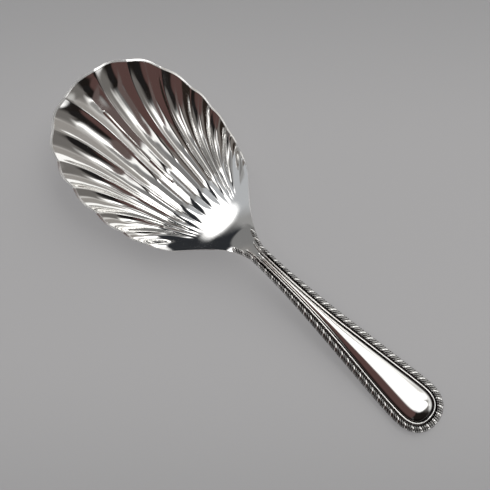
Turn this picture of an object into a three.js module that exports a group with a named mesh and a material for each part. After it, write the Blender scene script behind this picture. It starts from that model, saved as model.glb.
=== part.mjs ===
// Caddy spoon with a scallop shell bowl and a tapered, gadroon-bordered handle.
// Units are millimetres and +Z is up. X runs from the bowl's tip to the handle's tip,
// Y = 0 is the middle plane, and Z = 0 is the table that the spoon rests on.
import * as THREE from 'three';
import * as BufferGeometryUtils from 'three/addons/utils/BufferGeometryUtils.js';

// Driving dimensions of the whole spoon
const spoonLength = 105;
const bowlLength = 53.6;
const bowlHalfWidth = 17.45;
const widestBowlX = 21.6;
const sheetThickness = 0.6;

// Rim of the bowl, seen from above
const rimLandWidth = 0.5;
const landFadeReaches = [8.5, 1];
const lobeBulge = 0.6;
const lobePower = 1.5;
const lastBulgeShare = 0.3;
const bulgeFadeShares = [0.6, 0.95];
const shoulderReach = 12.7;
const shoulderHalfWidth = 11.75;
const heelHalfWidth = 2.05;
const frontFullnessShares = [0.62, 0.65];
const backFullnessShares = [0.43, 0.17];
const backTangentAngle = THREE.MathUtils.degToRad(43);

// Heights of the rim and of the bowl's middle line above the table
const tipHeight = 12;
const rimLowHeight = 4.95;
const bowlFloorHeight = 0.9;
const rimRiseShares = [[0.15, 0.86], [0.3, 0.56], [0.45, 0.29], [0.6, 0.05], [0.74, 0]];
const floorFallShares = [[0.055, 0.855], [0.15, 0.59], [0.26, 0.325], [0.37, 0.125], [0.49, 0.012]];
const heelRiseShares = [
  [0.62, 0.03], [0.7, 0.25], [0.78, 0.6], [0.85, 0.89], [0.9, 1.01], [0.95, 1.035],
];
const dishPower = 2.2;

// Fifteen flutes fan out from the heel to the rim
const sideFluteCount = 7;
const centreLobeShare = 1.15;
const lobeTaperShare = 0.038;
const ridgeShiftShare = 0.018;
const ridgeShiftMiddleShare = 0.52;
const ridgeShiftSpreadShare = 0.14;
const fluteDepthShare = 0.15;
const rimFluteShare = 0.5;
const lipShares = [0, 0.12];
const plainHeelLength = 11.6;
const fluteFadeLength = 10;
const fanAngle = THREE.MathUtils.degToRad(70);
const fanAnglePower = 0.45;
const shoulderAngle = THREE.MathUtils.degToRad(45);
const shoulderBlendPower = 4;
const reachBlendPower = 3;
const rimReachShares = [0.2, 0.33];
const heelReachShares = [0.6, 0.33];
const heelSpreadAngle = THREE.MathUtils.degToRad(14);
const heelEdgeAngle = THREE.MathUtils.degToRad(12);

// Handle outline
const handleHalfWidth = 5.64;
const handleEndLength = 6.1;
const handleWaistReach = 11.9;
const handleShoulderReach = 6.1;
const waistAngle = THREE.MathUtils.degToRad(2.8);
const endFullnessShare = 0.62;

// Handle heights: the underside runs straight down to a short flat foot at the tip
const neckHeight = 5.5;
const footLength = 7;
const footBlendLength = 8;
const flangeThickness = 0.7;

// Raised dome between the threads
const domeEdgeHeight = 0.45;
const neckDomeRise = 0.4;
const tipDomeRise = 1.3;
const domeNoseLength = 2.4;
const spineEndLength = 5.9;
const domeRingShares = [0, 0.3, 0.58, 0.82];

// Thread wire that frames the dome
const threadRadius = 0.22;
const threadHeight = 0.5;
const threadSeatStep = 0.3;
const threadLap = 1.4;

// Gadroon border outside the thread
const bandWidthAtNeck = 1.28;
const bandWidth = 1.85;
const bandWidthAtTip = 2.02;
const bandWidthAtHeel = 1.55;
const bandWaistReach = 1;
const bandFullReach = 23.4;
const borderLap = 3.9;
const channelWidth = 0.45;
const ledgeInset = 0.1;
const gadroonHeight = 0.85;
const gadroonPitch = 1.95;
const largeLobeShare = 0.44;
const grooveShare = 0.42;
const grooveInset = 0.12;
const gadroonLean = THREE.MathUtils.degToRad(42);
const leanStartLength = 9;
const leafEndLength = 1.3;
const gadroonProfile = [[0, 0], [0.06, 0.55], [0.32, 1], [0.7, 0.72], [1, 0.2], [1, 0]];

// Drop-shaped plate soldered under the joint of bowl and handle
const plateFrontReach = 8.4;
const plateBackReach = 6.4;
const plateHalfWidth = 1.55;
const plateThickness = 0.75;
const plateEdgeThickness = 0.25;
const plateEndShare = 0.014;

// Clearances where the pieces are soldered together
const solderGap = 0.06;
const lapGap = 0.16;
const mergeDistance = 0.001;

// Mesh densities
const fluteColumns = 6;
const bowlRows = 18;
const bowlRowBunching = 0.5;
const handleSideStations = 15;
const handleEndStations = 11;
const threadArcPoints = 5;
const plateStations = 12;
const plateColumns = 4;
const largeLobeSteps = 3;
const smallLobeSteps = 2;
const tableSize = 200;

const { lerp, smoothstep, clamp } = THREE.MathUtils;

// Places along X that follow from the joint between bowl and handle
const shoulderX = bowlLength - shoulderReach;
const fluteFadeEnd = bowlLength - plainHeelLength;
const fluteFadeStart = fluteFadeEnd - fluteFadeLength;
const [landFadeStart, landFadeEnd] = landFadeReaches.map((reach) => bowlLength - reach);
const threadStartX = bowlLength - threadLap;
const borderStartX = bowlLength - borderLap;
const bandWaistX = bowlLength + bandWaistReach;
const bandFullX = bowlLength + bandFullReach;
const plateFrontX = bowlLength - plateFrontReach;
const plateBackX = bowlLength + plateBackReach;

// Smooth curve through height points, without overshoot between them
function heightAt(points, x) {
  const last = points.length - 1;
  const spans = points.slice(1).map((p, i) => p[0] - points[i][0]);
  const rises = points.slice(1).map((p, i) => (p[1] - points[i][1]) / spans[i]);
  const slopes = points.map((_, i) => {
    if (i === 0 || i === last) return rises[Math.min(i, last - 1)];
    const product = rises[i - 1] * rises[i];
    return product > 0 ? (2 * product) / (rises[i - 1] + rises[i]) : 0;
  });
  let i = 0;
  while (i < last - 1 && x > points[i + 1][0]) i += 1;
  const t = clamp((x - points[i][0]) / spans[i], 0, 1);
  const rise = points[i + 1][1] - points[i][1];
  const start = slopes[i] * spans[i];
  const end = slopes[i + 1] * spans[i];
  return points[i][1] + start * t + (3 * rise - 2 * start - end) * t * t
    + (start + end - 2 * rise) * t * t * t;
}

function bezier(a, b, c, d) {
  return new THREE.CubicBezierCurve(
    new THREE.Vector2(...a),
    new THREE.Vector2(...b),
    new THREE.Vector2(...c),
    new THREE.Vector2(...d),
  );
}

// Inner edge of the rim from the bowl's tip to the shoulder, where the last flute ends
const tipInset = lobeBulge + rimLandWidth;
const innerHalfWidth = bowlHalfWidth - rimLandWidth;
const innerShoulder = [
  shoulderX - rimLandWidth * Math.sin(backTangentAngle),
  shoulderHalfWidth - rimLandWidth * Math.cos(backTangentAngle),
];
const backReach = backFullnessShares[1] * (shoulderX - widestBowlX);
const rimPath = new THREE.CurvePath();
rimPath.add(bezier(
  [tipInset, 0],
  [tipInset, frontFullnessShares[0] * innerHalfWidth],
  [lerp(widestBowlX, tipInset, frontFullnessShares[1]), innerHalfWidth],
  [widestBowlX, innerHalfWidth],
));
rimPath.add(bezier(
  [widestBowlX, innerHalfWidth],
  [lerp(widestBowlX, shoulderX, backFullnessShares[0]), innerHalfWidth],
  [
    innerShoulder[0] - backReach * Math.cos(backTangentAngle),
    innerShoulder[1] + backReach * Math.sin(backTangentAngle),
  ],
  innerShoulder,
));

// One line of the fan: side share 0 is the middle line and 1 the smooth shoulder edge
function fanLine(share) {
  const rim = rimPath.getPointAt(share);
  const heel = new THREE.Vector2(bowlLength, heelHalfWidth * share);
  const span = rim.distanceTo(heel);
  const rimAngle = lerp(fanAngle * share ** fanAnglePower, shoulderAngle, share ** shoulderBlendPower);
  const rimReach = span * lerp(...rimReachShares, share ** reachBlendPower);
  const heelAngle = heelSpreadAngle * Math.sin(Math.PI * share) + heelEdgeAngle * share;
  const heelReach = span * lerp(...heelReachShares, share ** reachBlendPower);
  return bezier(
    rim.toArray(),
    [rim.x + rimReach * Math.cos(rimAngle), rim.y - rimReach * Math.sin(rimAngle)],
    [heel.x - heelReach * Math.cos(heelAngle), heel.y + heelReach * Math.sin(heelAngle)],
    heel.toArray(),
  );
}

// Height of the handle's underside and of the ledge that carries the borders
const footStartX = spoonLength - footLength;
const undersideSlope = neckHeight / (footStartX - bowlLength - footBlendLength / 2);

function undersideHeight(x) {
  const run = Math.max(0, footStartX - x);
  const blended = Math.min(run, footBlendLength);
  return undersideSlope * (blended * blended / (2 * footBlendLength) + run - blended);
}

function ledgeHeight(x) {
  return undersideHeight(x) + flangeThickness;
}

// Half width of the bowl without its lobes
const rimTable = [
  ...rimPath.getSpacedPoints(tableSize),
  ...fanLine(1).getPoints(tableSize),
];

function bowlHalfWidthAt(x) {
  let i = 1;
  while (i < rimTable.length - 1 && rimTable[i].x < x) i += 1;
  const a = rimTable[i - 1];
  const b = rimTable[i];
  const t = b.x > a.x ? clamp((x - a.x) / (b.x - a.x), 0, 1) : 0;
  return lerp(a.y, b.y, t);
}

// Rim and middle-line heights, as points along X
const rimHeights = [
  [tipInset, tipHeight],
  ...rimRiseShares.map(([along, up]) => [along * bowlLength, lerp(rimLowHeight, tipHeight, up)]),
  [borderStartX, ledgeHeight(borderStartX)],
  [bowlLength, ledgeHeight(bowlLength)],
];
const heelHeight = ledgeHeight(bowlLength);
const floorHeights = [
  [tipInset, tipHeight],
  ...floorFallShares.map(([along, up]) => [along * bowlLength, lerp(bowlFloorHeight, tipHeight, up)]),
  ...heelRiseShares.map(([along, up]) => [along * bowlLength, lerp(bowlFloorHeight, heelHeight, up)]),
  [bowlLength, heelHeight],
];

// Dished surface of the bowl's inside, without flutes
function dishHeight(x, y) {
  const halfWidth = Math.max(bowlHalfWidthAt(x), sheetThickness);
  const across = Math.min(1, Math.abs(y) / halfWidth);
  return lerp(heightAt(floorHeights, x), heightAt(rimHeights, x), across ** dishPower);
}

// Ridges between the flutes, as shares of the fan's side; as struck, the ridges at mid-side
// lie a little further back on the left than on the right
const lobeShares = [centreLobeShare / 2];
for (let i = 1; i <= sideFluteCount; i += 1) {
  lobeShares.push(1 - lobeTaperShare * (i - 1));
}
const lobeTotal = lobeShares.reduce((sum, share) => sum + share, 0);

function sideRidges(side) {
  return lobeShares.map((_, i) => {
    const even = lobeShares.slice(0, i + 1).reduce((sum, share) => sum + share, 0) / lobeTotal;
    const away = (even - ridgeShiftMiddleShare) / ridgeShiftSpreadShare;
    const share = Math.min(1, even + side * ridgeShiftShare * Math.exp(-(away ** 2)));
    return { share, line: fanLine(share) };
  });
}

const leftRidges = sideRidges(1);
const rightRidges = sideRidges(-1);

// A triangle soup becomes one closed mesh with shared vertices
function solid(triangles) {
  const positions = triangles.flat().flatMap((p) => p.toArray());
  const soup = new THREE.BufferGeometry();
  soup.setAttribute('position', new THREE.Float32BufferAttribute(positions, 3));
  const merged = BufferGeometryUtils.mergeVertices(soup, mergeDistance);
  const index = merged.getIndex().array;
  const kept = [];
  for (let i = 0; i < index.length; i += 3) {
    const [a, b, c] = [index[i], index[i + 1], index[i + 2]];
    if (a !== b && b !== c && c !== a) kept.push(a, b, c);
  }
  merged.setIndex(kept);
  merged.computeVertexNormals();
  return merged;
}

function quad(out, a, b, c, d) {
  out.push([a, b, c], [a, c, d]);
}

// Surface through rows of points; with a flip it faces the other way
function skin(out, rows, flip = false) {
  for (let i = 0; i < rows.length - 1; i += 1) {
    for (let j = 0; j < rows[i].length - 1; j += 1) {
      const corners = [rows[i][j], rows[i + 1][j], rows[i + 1][j + 1], rows[i][j + 1]];
      quad(out, ...(flip ? corners.reverse() : corners));
    }
  }
}

// Closed loops of points joined into a bar with flat ends
function bar(loops) {
  const out = [];
  skin(out, loops.map((loop) => [...loop, loop[0]]), true);
  for (const [loop, flip] of [[loops[0], true], [loops[loops.length - 1], false]]) {
    for (let i = 1; i < loop.length - 1; i += 1) {
      out.push(flip ? [loop[0], loop[i + 1], loop[i]] : [loop[0], loop[i], loop[i + 1]]);
    }
  }
  return out;
}

// Bowl: every column is a line of the fan, with its place across a flute from -1 to 1
function bowlColumns() {
  const columns = [];
  for (let flute = -sideFluteCount; flute <= sideFluteCount; flute += 1) {
    const ridges = flute < 0 ? rightRidges : leftRidges;
    const outer = ridges[Math.abs(flute)];
    const inner = flute === 0 ? { share: -outer.share, line: null } : ridges[Math.abs(flute) - 1];
    const low = flute < 0 ? -outer.share : inner.share;
    const high = flute < 0 ? -inner.share : outer.share;
    const first = flute === -sideFluteCount ? 0 : 1;
    for (let k = first; k <= fluteColumns; k += 1) {
      const place = (2 * k) / fluteColumns - 1;
      const share = lerp(low, high, k / fluteColumns);
      columns.push({ share, place, outerLine: outer.line, innerLine: inner.line });
    }
  }
  return columns;
}

function fluteWidth(column, t) {
  const outer = column.outerLine.getPoint(t);
  if (!column.innerLine) return 2 * outer.y;
  return outer.distanceTo(column.innerLine.getPoint(t));
}

function bowlInside(column, line, t) {
  const side = column.share < 0 ? -1 : 1;
  const point = line.getPoint(t);
  const tangent = line.getTangent(t);
  const lobe = Math.max(0, Math.cos((Math.PI / 2) * column.place)) ** lobePower;
  const lobeFade = lerp(1, lastBulgeShare, smoothstep(Math.abs(column.share), ...bulgeFadeShares));
  const bulge = lobeBulge * lobe * lobeFade * (1 - smoothstep(t, 0, lipShares[1]));
  const rimFade = lerp(rimFluteShare, 1, smoothstep(t, lipShares[0], lipShares[1]));
  const heelFade = 1 - smoothstep(point.x, fluteFadeStart, fluteFadeEnd);
  const hollow = fluteDepthShare * fluteWidth(column, t) * (1 - column.place ** 2) * rimFade * heelFade;
  return new THREE.Vector3(
    point.x - bulge * tangent.x,
    side * (point.y - bulge * tangent.y),
    dishHeight(point.x, point.y) - hollow,
  );
}

// Level step from a point on the rim's inner edge to its outer edge, which runs out at the
// handle; the next point lies further in
function rimLand(edge, next) {
  const fade = smoothstep(edge.x, landFadeStart, landFadeEnd);
  const outward = edge.clone().sub(next).setZ(0).setLength(rimLandWidth);
  return { fade, outer: edge.clone().add(outward) };
}

// The rows lie closer together at the rim and at the heel
function bowlRowPlace(share) {
  return share - (bowlRowBunching * Math.sin(2 * Math.PI * share)) / (2 * Math.PI);
}

function makeBowl() {
  const inside = bowlColumns().map((column) => {
    const line = fanLine(Math.abs(column.share));
    const rows = [];
    for (let j = 0; j <= bowlRows; j += 1) {
      rows.push(bowlInside(column, line, bowlRowPlace(j / bowlRows)));
    }
    return rows;
  });
  const outside = inside.map((rows, i) => rows.map((point, j) => {
    const before = inside[Math.max(0, i - 1)][j];
    const after = inside[Math.min(inside.length - 1, i + 1)][j];
    const along = rows[Math.min(bowlRows, j + 1)].clone().sub(rows[Math.max(0, j - 1)]);
    const normal = along.cross(after.clone().sub(before)).normalize();
    if (j === bowlRows) normal.setX(0);
    const under = point.clone().addScaledVector(normal, -sheetThickness);
    under.setZ(Math.max(0, under.z));
    if (j === 0) return rimLand(point, rows[1]).outer;
    if (i > 0 && i < inside.length - 1) return under;
    const { fade, outer } = rimLand(point, inside[i === 0 ? 1 : i - 1][j]);
    return outer.lerp(under, fade);
  }));
  const triangles = [];
  skin(triangles, inside, true);
  skin(triangles, outside);
  const last = inside.length - 1;
  skin(triangles, [inside[0], outside[0]]);
  skin(triangles, [inside[last], outside[last]], true);
  skin(triangles, [inside.map((rows) => rows[0]), outside.map((rows) => rows[0])], true);
  skin(triangles, [inside.map((rows) => rows[bowlRows]), outside.map((rows) => rows[bowlRows])]);
  return solid(triangles);
}

// Edge of the handle, from the borders' start on the bowl's shoulder to the tip
const handleEndX = spoonLength - handleEndLength;
const sideCurve = bezier(
  [bowlLength, heelHalfWidth],
  [bowlLength + handleWaistReach, heelHalfWidth - handleWaistReach * Math.tan(waistAngle)],
  [handleEndX - handleShoulderReach, handleHalfWidth],
  [handleEndX, handleHalfWidth],
);
const endCurve = bezier(
  [handleEndX, handleHalfWidth],
  [lerp(handleEndX, spoonLength, endFullnessShare), handleHalfWidth],
  [spoonLength, handleHalfWidth * endFullnessShare],
  [spoonLength, 0],
);
const neckPoints = fanLine(1).getPoints(tableSize).filter((p) => p.x > borderStartX);
const edgePoints = [
  ...endCurve.getPoints(tableSize).reverse(),
  ...sideCurve.getPoints(tableSize).reverse().slice(1),
  ...neckPoints.reverse().slice(1),
];
const edgeLengths = [0];
for (let i = 1; i < edgePoints.length; i += 1) {
  edgeLengths.push(edgeLengths[i - 1] + edgePoints[i].distanceTo(edgePoints[i - 1]));
}
const edgeLength = edgeLengths[edgeLengths.length - 1];

// Width of the border band between the thread and the handle's edge
const bandWidths = [
  [borderStartX, bandWidthAtHeel],
  [bandWaistX, bandWidthAtNeck],
  [bandFullX, bandWidth],
  [handleEndX, bandWidth],
  [spoonLength, bandWidthAtTip],
];

// Point on the handle's edge at a distance from the tip, with its inward direction;
// a negative distance lies on the other side of the tip
function edgeAt(distance) {
  const reach = clamp(Math.abs(distance), 0, edgeLength);
  let i = 1;
  while (i < edgeLengths.length - 1 && edgeLengths[i] < reach) i += 1;
  const t = (reach - edgeLengths[i - 1]) / (edgeLengths[i] - edgeLengths[i - 1]);
  const point = edgePoints[i - 1].clone().lerp(edgePoints[i], t);
  const ahead = edgePoints[Math.min(i + 1, edgePoints.length - 1)];
  const behind = edgePoints[Math.max(i - 2, 0)];
  const inward = new THREE.Vector2(ahead.y - behind.y, behind.x - ahead.x).normalize();
  inward.multiplyScalar(-1);
  if (reach === 0) inward.set(-1, 0);
  const side = distance < 0 ? -1 : 1;
  return {
    x: point.x,
    y: side * point.y,
    inX: inward.x,
    inY: side * inward.y,
    band: heightAt(bandWidths, point.x),
  };
}

function insetPoint(edge, inset, z) {
  return new THREE.Vector3(edge.x + edge.inX * inset, edge.y + edge.inY * inset, z);
}

// The dome and the thread's seat rise out of the ledge behind the bowl's heel
const stemStartX = bowlLength + solderGap;

function noseRise(x) {
  return smoothstep(x, stemStartX, stemStartX + domeNoseLength);
}

function domeRise(x) {
  return noseRise(x) * lerp(neckDomeRise, tipDomeRise, smoothstep(x, bowlLength, handleEndX));
}

// Distances from the tip at which the handle's sections are cut
const sideStartDistance = edgeLengths[tableSize];
const stemStartDistance = edgeLengths[2 * tableSize];
const handleStations = [];
for (let i = 0; i < handleEndStations; i += 1) {
  handleStations.push((sideStartDistance * i) / handleEndStations);
}
for (let i = 0; i <= handleSideStations; i += 1) {
  handleStations.push(lerp(sideStartDistance, stemStartDistance, i / handleSideStations));
}

// Half section of the stem, from the crest outwards and round to the underside
function stemSection(distance) {
  const edge = edgeAt(distance);
  const threadRoom = threadRadius + solderGap;
  const domeEdge = insetPoint(edge, edge.band + threadRoom, 0);
  const spineX = Math.min(domeEdge.x, spoonLength - spineEndLength);
  const points = domeRingShares.map((share) => {
    const x = lerp(spineX, domeEdge.x, share);
    const dome = domeRise(spineX) * (1 - share * share);
    return new THREE.Vector3(x, domeEdge.y * share, ledgeHeight(x) + noseRise(x) * domeEdgeHeight + dome);
  });
  const rings = [
    [edge.band + threadRoom, domeEdgeHeight],
    [edge.band + threadRadius + solderGap / 2, threadSeatStep],
    [edge.band - threadRadius - solderGap / 2, threadSeatStep],
    [edge.band - threadRoom, 0],
    [ledgeInset, 0],
    [ledgeInset, -flangeThickness],
  ];
  for (const [inset, height] of rings) {
    const point = insetPoint(edge, inset, 0);
    const lift = height > 0 ? height * noseRise(point.x) : height;
    points.push(point.setZ(ledgeHeight(point.x) + lift));
  }
  points.push(new THREE.Vector3(spineX, 0, undersideHeight(spineX)));
  if (distance === stemStartDistance) points.forEach((p) => p.setX(stemStartX));
  return points;
}

function makeStem() {
  const half = handleStations.map(stemSection);
  const mirrored = half.map((points) => points.map((p) => new THREE.Vector3(p.x, -p.y, p.z)));
  const triangles = [];
  skin(triangles, half, true);
  skin(triangles, mirrored);
  const front = half[half.length - 1];
  const frontMirrored = mirrored[mirrored.length - 1];
  const bottom = front[front.length - 1];
  for (let i = 0; i < front.length - 2; i += 1) {
    triangles.push([bottom, front[i], front[i + 1]]);
    triangles.push([bottom, frontMirrored[i + 1], frontMirrored[i]]);
  }
  return solid(triangles);
}

// Thread wire: a half-round wire bent round the tip like a hairpin
function threadLoop(distance) {
  const edge = edgeAt(distance);
  const loop = [];
  for (let k = 0; k < threadArcPoints; k += 1) {
    const angle = (Math.PI * k) / (threadArcPoints - 1);
    const seat = insetPoint(edge, edge.band, 0);
    const point = insetPoint(edge, edge.band + threadRadius * Math.cos(angle), 0);
    const base = ledgeHeight(seat.x) + threadSeatStep * noseRise(seat.x) + solderGap;
    loop.push(point.setZ(base + threadHeight * Math.sin(angle)));
  }
  return loop;
}

function makeThread() {
  const end = edgeLength - (threadStartX - borderStartX);
  const stations = [...handleStations, end];
  const distances = [...stations.map((d) => -d).reverse(), ...stations.slice(1)];
  return solid(bar(distances.map(threadLoop)));
}

// Gadroon border: one large lobe and two small ones in every repeat
const largeLobe = gadroonPitch * largeLobeShare;
const smallLobe = (gadroonPitch - largeLobe) / 2;

function gadroonStations(start) {
  const stations = [{ distance: start, crest: 0 }];
  let from = start;
  const lobes = start < 0 ? [largeLobe, smallLobe, smallLobe] : [smallLobe, smallLobe, largeLobe];
  for (let i = 0; from < edgeLength; i += 1) {
    const width = lobes[i % lobes.length];
    const steps = width === largeLobe ? largeLobeSteps : smallLobeSteps;
    for (let k = 1; k < steps; k += 1) stations.push({ distance: from + (width * k) / steps, crest: 1 });
    stations.push({ distance: from + width, crest: 0 });
    from += width;
  }
  return stations.filter((station) => station.distance < edgeLength);
}

function gadroonLoop({ distance, crest }, side) {
  const nearEnd = edgeLength - distance;
  const leaf = Math.sqrt(1 - (1 - clamp(nearEnd / leafEndLength, 0, 1)) ** 2);
  const height = gadroonHeight * lerp(1 - grooveShare, 1, crest) * lerp(grooveShare, 1, leaf);
  const middle = edgeAt(distance);
  const width = middle.band - channelWidth;
  const lean = Math.tan(gadroonLean) * smoothstep(distance, 0, leanStartLength) * leaf;
  return gadroonProfile.map(([across, up]) => {
    const place = lerp((1 - leaf) / 2, (1 + leaf) / 2, across);
    const inset = Math.max(width * (1 - place), (1 - crest) * grooveInset);
    const along = clamp(distance - lean * width * (place - 1 / 2), -edgeLength, edgeLength);
    const edge = edgeAt(side * along);
    const point = insetPoint(edge, inset, 0);
    return point.setZ(ledgeHeight(point.x) + solderGap + height * up);
  });
}

function makeBorder(side, start) {
  const loops = gadroonStations(start).map((station) => gadroonLoop(station, side));
  return solid(bar(side > 0 ? loops : loops.map((loop) => loop.reverse())));
}

// Drop-shaped plate: its top follows the bowl's underside and then the stem's
function plateHalfWidthAt(x) {
  const front = clamp((x - plateFrontX) / (bowlLength - plateFrontX), 0, 1);
  const back = clamp((plateBackX - x) / (plateBackX - bowlLength), 0, 1);
  return plateHalfWidth * Math.sqrt(1 - (1 - front) ** 2) * Math.sqrt(1 - (1 - back) ** 2);
}

function plateTop(x, y) {
  if (x > bowlLength) return undersideHeight(x) - lapGap;
  const step = sheetThickness;
  const slopeX = (dishHeight(x + step, y) - dishHeight(x - step, y)) / (2 * step);
  const slopeY = (dishHeight(x, y + step) - dishHeight(x, y - step)) / (2 * step);
  return dishHeight(x, y) - sheetThickness * Math.hypot(1, slopeX, slopeY) - lapGap;
}

function makePlate() {
  const margin = plateEndShare * (plateBackX - plateFrontX);
  const loops = [];
  for (let i = 0; i <= plateStations; i += 1) {
    const x = lerp(plateFrontX + margin, plateBackX - margin, i / plateStations);
    const halfWidth = plateHalfWidthAt(x);
    const top = [];
    const under = [];
    for (let k = 0; k <= plateColumns; k += 1) {
      const across = (2 * k) / plateColumns - 1;
      const y = halfWidth * across;
      const z = plateTop(x, y);
      const thickness = lerp(plateThickness, plateEdgeThickness, across * across);
      top.push(new THREE.Vector3(x, y, z));
      under.unshift(new THREE.Vector3(x, y, z - thickness));
    }
    loops.push([...top, ...under].reverse());
  }
  return solid(bar(loops));
}

// Silver, polished; the borders keep a slightly duller tone in their grooves
const polishedSilver = { color: 0xe8e8e6, roughness: 0.12, metalness: 1 };
const borderSilver = { color: 0xdcdcd8, roughness: 0.22, metalness: 1 };

const spoon = new THREE.Group();
spoon.position.x = -spoonLength / 2;

function addPiece(name, geometry, finish) {
  const mesh = new THREE.Mesh(geometry, new THREE.MeshStandardMaterial(finish));
  mesh.name = name;
  spoon.add(mesh);
}

addPiece('bowl', makeBowl(), polishedSilver);
addPiece('handle_stem', makeStem(), polishedSilver);
addPiece('heel_plate', makePlate(), polishedSilver);
addPiece('thread_wire', makeThread(), polishedSilver);
addPiece('gadroon_border_left', makeBorder(1, (solderGap - largeLobe) / 2), borderSilver);
addPiece('gadroon_border_right', makeBorder(-1, (solderGap + largeLobe) / 2), borderSilver);

export default spoon;
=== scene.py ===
# Silver caddy spoon: a fluted scallop shell bowl and a tapered handle with a raised dome, a
# thread and a gadroon border. Shapes are worked out in millimetres, with X running from the
# bowl's tip along the spoon, and are moved into the model's frame, in metres, at the end.
import math
from bisect import bisect_left

import bmesh
import bpy
from mathutils import Matrix, Vector


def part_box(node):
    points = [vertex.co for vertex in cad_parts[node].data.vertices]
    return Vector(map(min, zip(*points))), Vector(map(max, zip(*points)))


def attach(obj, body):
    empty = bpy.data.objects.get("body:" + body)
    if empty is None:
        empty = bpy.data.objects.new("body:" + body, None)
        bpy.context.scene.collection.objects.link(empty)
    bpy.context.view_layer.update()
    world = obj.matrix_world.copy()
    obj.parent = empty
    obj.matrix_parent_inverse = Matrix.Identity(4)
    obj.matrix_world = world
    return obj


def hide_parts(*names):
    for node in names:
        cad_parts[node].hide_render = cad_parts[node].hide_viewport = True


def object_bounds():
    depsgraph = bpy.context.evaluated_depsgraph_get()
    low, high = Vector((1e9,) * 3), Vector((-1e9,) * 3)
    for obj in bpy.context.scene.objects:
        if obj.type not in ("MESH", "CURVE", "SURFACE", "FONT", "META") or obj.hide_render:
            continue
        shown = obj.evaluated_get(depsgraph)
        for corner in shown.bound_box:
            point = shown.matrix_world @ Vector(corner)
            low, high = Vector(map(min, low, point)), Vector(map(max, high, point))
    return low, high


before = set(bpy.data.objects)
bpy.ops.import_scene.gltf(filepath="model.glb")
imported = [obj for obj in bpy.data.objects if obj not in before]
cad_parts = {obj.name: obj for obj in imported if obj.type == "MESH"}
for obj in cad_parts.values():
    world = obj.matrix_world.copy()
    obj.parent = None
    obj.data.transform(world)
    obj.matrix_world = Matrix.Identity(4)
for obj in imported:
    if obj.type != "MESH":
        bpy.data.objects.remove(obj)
cad_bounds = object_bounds()

# A millimetre in metres, and the distance in millimetres at which vertices are merged
MM = 0.001
MERGE = 1e-4

# Sizes that the frame gives, in millimetres; the rim's rounding takes a little off its tip
ROUNDING_LOSS = 0.06
SPOON_LENGTH = (cad_bounds[1].x - cad_bounds[0].x) / MM
TIP_SHIFT = cad_bounds[0].x / MM
BOWL_LENGTH = (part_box("bowl")[1].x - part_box("bowl")[0].x) / MM
RIM_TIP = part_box("bowl")[1].z / MM + ROUNDING_LOSS

# Bowl: rim seen from above, in millimetres
BOWL_HALF_WIDTH = 17.45
WIDEST_X = 21.6
SHEET = 0.6
RIM_LAND = 0.5
LAND_FADE = (BOWL_LENGTH - 8.5, BOWL_LENGTH - 1)
LAND_REACH = 0.8
RIM_ROUNDING = 0.22
LOBE_BULGE = 0.6
LOBE_POWER = 1.5
LAST_BULGE_SHARE = 0.3
BULGE_FADE_SHARES = (0.6, 0.95)
SHOULDER_X = BOWL_LENGTH - 12.7
SHOULDER_HALF_WIDTH = 11.75
HEEL_HALF_WIDTH = 2.05
FRONT_SHARES = (0.62, 0.65)
BACK_SHARES = (0.43, 0.17)
BACK_TANGENT = math.radians(43)

# Bowl: heights above the table
RIM_LOW = 4.95
FLOOR_HEIGHT = 0.9
RIM_RISE_SHARES = ((0.15, 0.86), (0.3, 0.56), (0.45, 0.29), (0.6, 0.05), (0.74, 0))
FLOOR_FALL_SHARES = ((0.055, 0.855), (0.15, 0.59), (0.26, 0.325), (0.37, 0.125), (0.49, 0.012))
HEEL_RISE_SHARES = (
    (0.62, 0.03), (0.7, 0.25), (0.78, 0.6), (0.85, 0.89), (0.9, 1.01), (0.95, 1.035),
)
DISH_POWER = 2.2

# Bowl: the fan of fifteen flutes
SIDE_FLUTES = 7
CENTRE_LOBE_SHARE = 1.15
LOBE_TAPER_SHARE = 0.038
RIDGE_SHIFT_SHARES = (0.018, 0.52, 0.14)
FLUTE_DEPTH_SHARE = 0.15
RIM_FLUTE_SHARE = 0.5
RIDGE_ROUNDING = 0.07
LIP_SHARE = 0.12
FLUTE_FADE = (BOWL_LENGTH - 21.6, BOWL_LENGTH - 11.6)
FAN_ANGLE = math.radians(70)
FAN_POWER = 0.45
SHOULDER_ANGLE = math.radians(45)
SHOULDER_BLEND_POWER = 4
REACH_BLEND_POWER = 3
RIM_REACH_SHARES = (0.2, 0.33)
HEEL_REACH_SHARES = (0.6, 0.33)
HEEL_SPREAD = math.radians(14)
HEEL_EDGE = math.radians(12)

# Handle
HANDLE_HALF_WIDTH = 5.64
HANDLE_END_LENGTH = 6.1
WAIST_REACH = 11.9
HANDLE_SHOULDER_REACH = 6.1
WAIST_ANGLE = math.radians(2.8)
END_FULLNESS_SHARE = 0.62
NECK_HEIGHT = 5.5
FOOT_LENGTH = 7
FOOT_BLEND = 8
FLANGE = 0.7
DOME_EDGE = 0.45
NECK_DOME = 0.4
TIP_DOME = 1.3
NOSE_LENGTH = 2.4
SPINE_END = 5.9
THREAD_RADIUS = 0.22
THREAD_HEIGHT = 0.5
THREAD_SEAT = 0.3
THREAD_LAP = 1.4
THREAD_TAPER = 3 * THREAD_RADIUS
THREAD_TIP_SHARE = 0.05
SEAT_EASE = (0.1, 0.02)
DOME_EASE = (0.02, 0.04)
SOLDER_GAP = 0.06
LEDGE_INSET = 0.1
FOOT_ROUNDING = 0.18

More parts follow.
